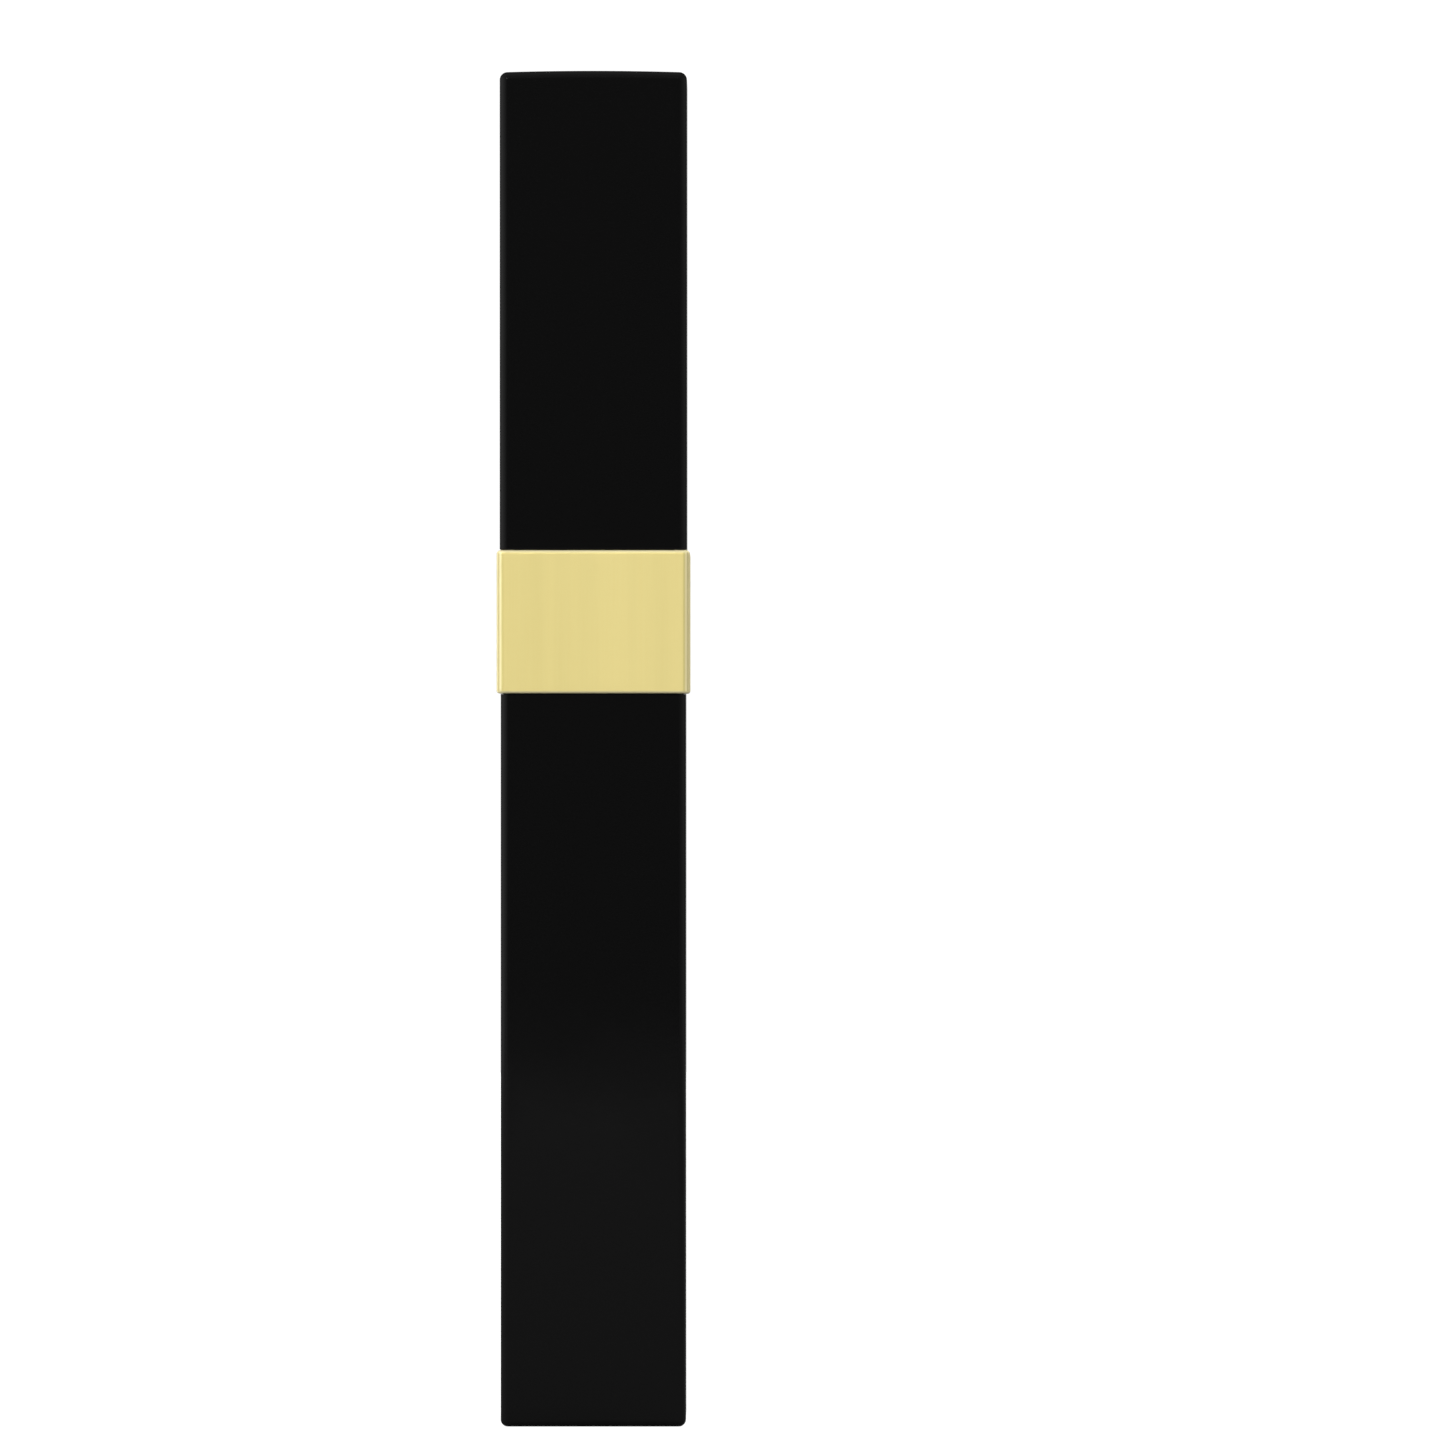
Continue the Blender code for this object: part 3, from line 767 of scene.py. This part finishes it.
def turned(name, corners, steps=TURN_STEPS, closed=False):
    """Draw the outline from corner to corner, and spin it once round the Z axis."""
    points = rounded(corners)
    piece = start_piece(name, bpy.ops.mesh.primitive_plane_add, size=MM)
    bpy.ops.object.mode_set(mode="EDIT")
    bpy.ops.mesh.select_mode(type="VERT")
    bpy.ops.mesh.select_all(action="SELECT")
    bpy.ops.mesh.merge(type="CENTER")
    bpy.ops.transform.translate(value=points[0])
    for here, there in zip(points, points[1:]):
        bpy.ops.mesh.extrude_vertices_move(TRANSFORM_OT_translate={"value": there - here})
    if closed:
        ends = (points[0], points[-1])
        choose(piece, "VERT", lambda v: min((v.co - end).length for end in ends) < 0.001 * MM)
        bpy.ops.mesh.edge_face_add()
    bpy.ops.mesh.select_all(action="SELECT")
    bpy.ops.mesh.spin(steps=steps, angle=math.tau, center=(0, 0, 0), axis=(0, 0, 1))
    bpy.ops.mesh.select_all(action="SELECT")
    bpy.ops.mesh.remove_doubles(threshold=0.001 * MM)
    bpy.ops.mesh.normals_make_consistent(inside=False)
    bpy.ops.object.mode_set(mode="OBJECT")
    return piece


# %% [markdown]
# ### The vial and its lugs
#
# The vial is blown with a thick neck. A quarter-turn closure holds the cap: two lugs stand on the
# neck, 70 degrees wide, and two narrow stops end the turn. They are drawn out of the neck's own
# wall, so the faces between two heights and two angles are picked and pushed outwards, and the
# block's outer rim is then broken with a small bevel. The neck is spun in steps of 2.5 degrees,
# which lets every lug begin and end on an edge.

# %% Vial
LUG_STEPS = 144
LUG_SPAN = 70
STOP_SPAN = 15
LUG_ANGLES = (0, 180)
STOP_ANGLES = (-45, 135)
LUG_LOW = 92.5
STOP_LOW = 90.0
LUG_HIGH = 94.0
LUG_RISE = 0.55
LUG_BEVEL = 0.14
VIAL_RADIUS = 7.2
NECK_RADIUS = 5.4
NECK_BORE = 4.7
NECK_TOP = 99.0


def lies_between(low, high, radius, centres, span):
    """A test for faces of a round wall, between two heights and near any of the angles."""
    def wanted(face):
        place = face.calc_center_median()
        angle = math.degrees(math.atan2(place.y, place.x))
        near = any(abs((angle - centre + 180) % 360 - 180) < span / 2 for centre in centres)
        on_wall = abs(place.xy.length - radius * MM) < 0.02 * MM
        return near and on_wall and low * MM < place.z < high * MM
    return wanted


def raise_lugs(piece, low, high, radius, centres, span, rise):
    """Push part of a round wall out along its normals, and round the block's rim."""
    bpy.ops.object.mode_set(mode="EDIT")
    choose(piece, "FACE", lies_between(low, high, radius, centres, span))
    bpy.ops.mesh.extrude_region_shrink_fatten(TRANSFORM_OT_shrink_fatten={"value": rise * MM})
    bpy.ops.mesh.region_to_loop()
    bevel(LUG_BEVEL * MM, RIM_STEPS)
    bpy.ops.object.mode_set(mode="OBJECT")


def make_vial():
    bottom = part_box("inner_vial")[0].z / MM
    vial = turned("vial", in_mm(
        (0, bottom + 1.3), (6.1, bottom + 1.3, 0.7), (6.1, 75.7, 0.9), (NECK_BORE, 77.8, 0.9),
        (NECK_BORE, NECK_TOP, 0.1), (NECK_RADIUS, NECK_TOP, 0.15), (NECK_RADIUS, LUG_HIGH),
        (NECK_RADIUS, LUG_LOW), (NECK_RADIUS, STOP_LOW), (NECK_RADIUS, 88.4, 0.1),
        (5.8, 88.0, 0.2), (5.8, 78.3, 0.6), (6.9, 76.8, 0.5), (VIAL_RADIUS, 76.0, 0.4),
        (VIAL_RADIUS, bottom, 0.8), (5.2, bottom, 0.3), (4.6, bottom + 0.25, 0.3),
        (0, bottom + 0.25)), LUG_STEPS)
    raise_lugs(vial, LUG_LOW, LUG_HIGH, NECK_RADIUS, LUG_ANGLES, LUG_SPAN, LUG_RISE)
    raise_lugs(vial, STOP_LOW, LUG_HIGH, NECK_RADIUS, STOP_ANGLES, STOP_SPAN, LUG_RISE)
    finish_piece(vial, "inner_vial", neck_black, sharp_angle=50)


make_vial()

# %% [markdown]
# ### The shoulder insert
#
# A stepped square plate with a round skirt below it, which grips the vial's neck. The step is a
# second block joined to the plate, because insetting by more than the corner's radius would turn
# the corner inside out. The skirt is turned and joined on too, and the hole for the neck is cut
# last, with a cutter that flares at the top.

# %% Shoulder insert
STEP_HEIGHT = 0.45 * MM
SKIRT_RADIUS = 7.65 * MM
HOLE_RADIUS = 6.0 * MM
FLARE = 0.35 * MM


def make_shoulder():
    plate_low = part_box("bottle_casing")[1].z + 0.3 * MM
    step_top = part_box("shoulder_insert")[1].z
    plate_top = step_top - STEP_HEIGHT
    shoulder = square_block("shoulder_plate", TONGUE_WIDTH, plate_low, plate_top, 0.5 * MM,
                            low_radius=0.2 * MM)
    step = square_block("step", TONGUE_WIDTH - 2 * MM, plate_low + 0.1 * MM, step_top, 0.3 * MM,
                        high_radius=0.12 * MM)
    combine(shoulder, step, "UNION")
    skirt_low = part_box("shoulder_insert")[0].z
    skirt_top = plate_low + 0.5 * MM
    skirt = turned("skirt", [(0, skirt_low, 0), (SKIRT_RADIUS, skirt_low, 0.3 * MM),
                             (SKIRT_RADIUS, skirt_top, 0), (0, skirt_top, 0)])
    combine(shoulder, skirt, "UNION")
    hole = turned("hole", [(0, 0, 0), (HOLE_RADIUS, 0, 0),
                           (HOLE_RADIUS, step_top - FLARE, 0.4 * MM),
                           (HOLE_RADIUS + FLARE, step_top + 0.02 * MM, 0),
                           (HOLE_RADIUS + FLARE, step_top + MM, 0), (0, step_top + MM, 0)])
    combine(shoulder, hole, "DIFFERENCE")
    finish_piece(shoulder, "shoulder_insert", neck_black)


make_shoulder()

# %% [markdown]
# ### The wiper
#
# A soft sleeve with a flange that sits on the rim of the neck. Its wall narrows to a thin lip that
# scrapes the stem. The lip is rolled rather than cut, and a low rib round the sleeve keeps it in
# the neck. It comes out of its mould with every corner of its outline rounded.

# %% Wiper
FLANGE_RADIUS = 5.3
SLEEVE_RADIUS = 4.42
SLEEVE_BORE = 3.85
LIP_BORE = 2.84


def make_wiper():
    low, high = (corner.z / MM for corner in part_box("wiper"))
    wiper = turned("wiper_sleeve", in_mm(
        (SLEEVE_BORE, high, 0.25), (FLANGE_RADIUS, high, 0.15), (FLANGE_RADIUS, high - 0.6, 0.1),
        (SLEEVE_RADIUS, high - 0.6, 0.1), (SLEEVE_RADIUS, high - 3.0, 0.1),
        (SLEEVE_RADIUS + 0.2, high - 3.4, 0.1), (SLEEVE_RADIUS, high - 3.8, 0.1),
        (SLEEVE_RADIUS, low + 5.0, 0.6), (3.3, low, 0.15), (LIP_BORE, low, 0.2),
        (LIP_BORE, low + 0.6, 0.4), (SLEEVE_BORE, low + 5.5, 0.8)), closed=True)
    finish_piece(wiper, "wiper", wiper_milk)


make_wiper()

# %% [markdown]
# ### The make-up
#
# Thick paint that fills the vial round the brush. It wets both walls, so its top is a meniscus, low
# in the middle and drawn up at the vial and at the stem. A Displace modifier with a soft cloud
# pattern makes the surface slightly lumpy, and is applied.

# %% Formula
FILL_RADIUS = 5.75
ROUND_BRUSH = 4.6
ROUND_STEM = 2.85


def make_formula():
    low, high = (corner.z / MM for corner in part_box("mascara_formula"))
    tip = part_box("brush")[0].z / MM
    stem_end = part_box("stem")[0].z / MM
    formula = turned("formula_fill", in_mm(
        (0, low), (FILL_RADIUS, low, 0.8), (FILL_RADIUS, high, 0.1), (5.3, high - 0.8, 0.8),
        (3.4, high - 0.8, 0.6), (ROUND_STEM + 0.1, high - 0.1, 0.05), (ROUND_STEM, high - 0.2),
        (ROUND_STEM, stem_end + 2.2, 1), (ROUND_BRUSH, stem_end - 1.4, 0.8),
        (ROUND_BRUSH, tip + 8.1, 3), (2.7, tip - 0.25, 0.5), (0, tip - 0.25)))
    clouds = bpy.data.textures.new("lumps", "CLOUDS")
    clouds.noise_scale = 2.5 * MM
    displace = formula.modifiers.new("Lumps", "DISPLACE")
    displace.texture = clouds
    displace.texture_coords = "LOCAL"
    displace.strength = 0.1 * MM
    bpy.ops.object.modifier_apply(modifier=displace.name)
    finish_piece(formula, "mascara_formula", wet_black, sharp_angle=80)


make_formula()

# %% [markdown]
# ### The label
#
# A blank square of film, pressed into the recess under the base. Its rounded corners come with the
# square block, and its rim is softened because film is punched, not sawn.

# %% Label
LABEL_CORNER = 0.9 * MM
LABEL_RIM = 0.04 * MM


def make_label():
    low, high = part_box("base_label")
    label = square_block("label_blank", high.x - low.x, low.z, high.z, LABEL_CORNER,
                         low_radius=LABEL_RIM)
    finish_piece(label, "base_label", label_film)


make_label()

# %% [markdown]
# ### The cap's liner
#
# A sleeve that fits over the neck, with a socket for the stem and a pocket for the weight. Two lugs
# stand inwards from its bore: there the wall's normals point at the axis, so pushing the faces out
# along them makes the lugs. Four ribs reach into the corners of the square cap and keep the liner
# from turning in it. Each rib is a cube with its free edges bevelled, turned into its corner.

# %% Liner
LINER_RADIUS = 7.75
LINER_BORE = 6.6
SOCKET_BORE = 2.95
LINER_LUG_LOW = 90.6
LINER_LUG_HIGH = 92.1
LINER_LUG_RISE = 0.9
RIB_INNER = 7.4 * MM
RIB_OUTER = 10.4 * MM
RIB_THICKNESS = 1.2 * MM


def make_rib(angle, low, high):
    rib = start_piece("rib", bpy.ops.mesh.primitive_cube_add, size=1,
                      location=((RIB_INNER + RIB_OUTER) / 2, 0, (low + high) / 2),
                      scale=(RIB_OUTER - RIB_INNER, RIB_THICKNESS, high - low))
    bpy.ops.object.mode_set(mode="EDIT")
    choose(rib, "EDGE", lambda e: all(abs(v.co.x - RIB_OUTER) < 0.01 * MM for v in e.verts))
    bevel(0.3 * MM, RIM_STEPS)
    bpy.ops.mesh.select_all(action="SELECT")
    bpy.ops.transform.rotate(value=-angle, orient_axis="Z", center_override=(0, 0, 0))
    bpy.ops.object.mode_set(mode="OBJECT")
    return rib


def make_liner():
    low, high = (corner.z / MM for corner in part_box("cap_liner"))
    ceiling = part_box("seal_washer")[1].z / MM + 0.3
    socket_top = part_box("stem")[1].z / MM + 0.5
    bead = ceiling - 1.7
    liner = turned("liner_sleeve", in_mm(
        (0, socket_top + 1.2), (6.3, socket_top + 1.2, 0.5), (6.3, high, 0.1),
        (LINER_RADIUS, high, 0.25), (LINER_RADIUS, low, 0.2), (LINER_BORE, low, 0.35),
        (LINER_BORE, LINER_LUG_LOW), (LINER_BORE, LINER_LUG_HIGH), (LINER_BORE, bead - 0.5, 0.2),
        (6.15, bead, 0.3), (LINER_BORE, bead + 0.5, 0.2), (LINER_BORE, ceiling, 0.3),
        (SOCKET_BORE, ceiling, 0.1), (SOCKET_BORE, socket_top, 0.2), (0, socket_top)), LUG_STEPS)
    raise_lugs(liner, LINER_LUG_LOW, LINER_LUG_HIGH, LINER_BORE, LUG_ANGLES, LUG_SPAN,
               LINER_LUG_RISE)
    for quarter in range(4):
        rib = make_rib(math.radians(45 + 90 * quarter), (low + 1.5) * MM, (high - 1.5) * MM)
        combine(liner, rib, "UNION")
    finish_piece(liner, "cap_liner", liner_grey, sharp_angle=50)


make_liner()

# %% [markdown]
# ### The weight and the washer
#
# The weight is a slug of bar, faced and chamfered on a lathe, with the small cone of a centre drill
# in each end. The washer is punched from foam, so its edges are slightly crushed.

# %% Weight and washer
WEIGHT_RADIUS = 6.0
WASHER_RADIUS = 6.35
WASHER_BORE = 3.8


def make_weight():
    low, high = (corner.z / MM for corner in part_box("cap_weight"))
    weight = turned("weight_slug", in_mm(
        (0, high - 1.1), (0.9, high, 0.1), (5.6, high, 0.05), (WEIGHT_RADIUS, high - 0.4, 0.05),
        (WEIGHT_RADIUS, low + 0.4, 0.05), (5.6, low, 0.05), (0.9, low, 0.1), (0, low + 1.1)))
    finish_piece(weight, "cap_weight", turned_steel)


def make_washer():
    low, high = (corner.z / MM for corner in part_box("seal_washer"))
    washer = turned("foam_ring", in_mm(
        (WASHER_BORE, high, 0.2), (WASHER_RADIUS, high, 0.3), (WASHER_RADIUS, low, 0.3),
        (WASHER_BORE, low, 0.2)), closed=True)
    finish_piece(washer, "seal_washer", seal_foam)


make_weight()
make_washer()

# %% [markdown]
# ### The stem
#
# A rod with a thicker plug and shank that are pressed into the liner's socket. Towards its free end
# it tapers a little, and the end is chamfered and bored for the brush. A shallow dimple marks where
# a punch staked the brush in its bore: a small ball, stretched along the rod, is sunk in its side
# and taken away.

# %% Stem
STEM_RADIUS = 2.54
STEM_END_RADIUS = 2.35
PLUG_LOW = 95.5
PLUG_RADIUS = 3.5
SHANK_RADIUS = 2.9
TAPER_LENGTH = 9.0
BRUSH_BORE = 1.5
BORE_DEPTH = 12.5
DIMPLE_ANGLE = math.radians(-61)
BALL_RADIUS = 0.5
BALL_OUT = STEM_END_RADIUS + 0.22  # from the axis to the ball's centre


def make_stem():
    end, top = (corner.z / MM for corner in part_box("stem"))
    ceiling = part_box("seal_washer")[1].z / MM + 0.3
    plug_top = ceiling - 0.3
    taper_top = end + TAPER_LENGTH
    bore_top = end + BORE_DEPTH
    stem = turned("stem_rod", in_mm(
        (0, top), (SHANK_RADIUS, top, 0.3), (SHANK_RADIUS, plug_top, 0.1),
        (PLUG_RADIUS, plug_top, 0.15), (PLUG_RADIUS, PLUG_LOW, 0.35), (STEM_RADIUS, PLUG_LOW, 0.3),
        (STEM_RADIUS, taper_top, 15), (STEM_END_RADIUS, end + 0.6, 0.5),
        (BRUSH_BORE + 0.35, end, 0.2), (BRUSH_BORE, end, 0.05), (BRUSH_BORE, bore_top),
        (0, bore_top)))
    ball_place = Vector((BALL_OUT * math.cos(DIMPLE_ANGLE), BALL_OUT * math.sin(DIMPLE_ANGLE),
                         taper_top))
    ball = start_piece("ball", bpy.ops.mesh.primitive_uv_sphere_add, segments=32, ring_count=16,
                       radius=BALL_RADIUS * MM, scale=(1, 1, 1.5), location=ball_place * MM)
    combine(stem, ball, "DIFFERENCE")
    finish_piece(stem, "stem", satin_black)


make_stem()

# %% [markdown]
# ### The brush
#
# One moulding: a core with rows of thorns, a waist, and a shank that is pressed into the stem. The
# thorn is modelled once, as a turned form with eight sides: a long cone that flares into the
# core, with a blunt point. Copies stand in eighteen rows, and each row is a third of a step further
# along than its neighbour, which is how the mould's slides leave them. The first thorns are
# only nubs, and they grow over the first 11 mm. The last ones stand on the waist's flare and lean
# back towards the tip. Joining them with a Boolean leaves one clean skin.

# %% Brush
BRUSH_ROWS = 18
THORN_STEP = 1.54
THORN_FIRST = 5.9
THORN_LAST = 33.3
THORN_REACH = 4.28
THORN_GROWTH = 11.0
CORE_RADIUS = 2.7
CORE_TIP_RADIUS = 2.1
THORN_LENGTH = THORN_REACH - CORE_RADIUS
THORN_SIDES = 8
THORN_ROOT = 0.3  # how deep a thorn is sunk in the core
LAST_LEAN = math.radians(14)
LAST_SINK = 0.35
WAIST_RADIUS = 1.05


def grown(height):
    """0 at the first thorn, 1 where the thorns have their full length."""
    return min(1.0, max(0.0, (height - THORN_FIRST) / THORN_GROWTH))


def core_radius(height):
    return CORE_TIP_RADIUS + (CORE_RADIUS - CORE_TIP_RADIUS) * math.sqrt(grown(height))


def thorn_reach(height):
    """Distance from the axis to the point of the thorn at this height."""
    nub = CORE_TIP_RADIUS + 0.25
    return nub + (THORN_REACH - nub) * grown(height)


def make_thorn():
    """One thorn of full length, standing on the origin."""
    stages = (0.0, 0.1, 0.22, 0.45, 0.9, 1.35)
    outline = [(0, -THORN_ROOT), (0.4, -THORN_ROOT)]
    outline += [(0.22 - 0.07 * along + 0.18 * math.exp(-along / 0.2), along) for along in stages]
    outline += [(0.07, THORN_LENGTH - 0.04), (0, THORN_LENGTH)]
    return turned("thorn", in_mm(*outline), steps=THORN_SIDES)


def place_thorn(thorn, angle, height):
    """Stand a copy of the thorn on the core."""
    copy = thorn.copy()
    copy.data = thorn.data.copy()
    bpy.context.collection.objects.link(copy)
    near_end = max(0.0, (height - THORN_LAST) / THORN_STEP + 1)
    base = core_radius(height) - LAST_SINK * near_end
    length = (thorn_reach(height) - base) / THORN_LENGTH
    width = core_radius(height) / CORE_RADIUS * (0.75 + 0.25 * grown(height))
    lean = LAST_LEAN * near_end
    copy.matrix_world = (Matrix.Rotation(angle, 4, "Z")
                         @ Matrix.Translation((base * MM, 0, height * MM))
                         @ Matrix.Rotation(math.radians(90) + lean, 4, "Y")
                         @ Matrix.Diagonal((width, width, length, 1)))
    return copy


def make_brush():
    tip, top = (corner.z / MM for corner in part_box("brush"))
    stem_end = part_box("stem")[0].z / MM
    growth = [THORN_FIRST + THORN_GROWTH * share for share in (1.0, 0.7, 0.45, 0.25, 0.1, 0.02)]
    core = turned("brush_moulding", in_mm(
        (0, top), (BRUSH_BORE - 0.05, top, 0.3), (BRUSH_BORE - 0.05, stem_end + 0.1, 0.2),
        (WAIST_RADIUS, stem_end - 0.4, 0.3), (WAIST_RADIUS, stem_end - 0.9, 0.4),
        (2.0, stem_end - 1.55, 0.4), (2.6, stem_end - 2.2, 0.5), (CORE_RADIUS, stem_end - 2.8, 0.5),
        *[(core_radius(height), height) for height in growth],
        (CORE_TIP_RADIUS - 0.05, tip + 0.65, 0.4), (1.1, tip + 0.05, 0.5), (0, tip)))
    thorn = make_thorn()
    copies = []
    for row in range(BRUSH_ROWS):
        height = THORN_FIRST + THORN_STEP * (row % 3) / 3
        while height <= THORN_LAST:
            copies.append(place_thorn(thorn, math.tau * (row + 0.5) / BRUSH_ROWS, height))
            height += THORN_STEP
    bpy.ops.object.select_all(action="DESELECT")
    for copy in copies:
        copy.select_set(True)
    bpy.context.view_layer.objects.active = copies[0]
    bpy.ops.object.join()
    thorns = bpy.context.object
    bpy.ops.object.transform_apply(location=True, rotation=True, scale=True)
    bpy.data.objects.remove(thorn)
    combine(core, thorns, "UNION", solver="MANIFOLD")
    print(len(copies), "thorns")
    finish_piece(core, "brush", brush_black, sharp_angle=60)


make_brush()
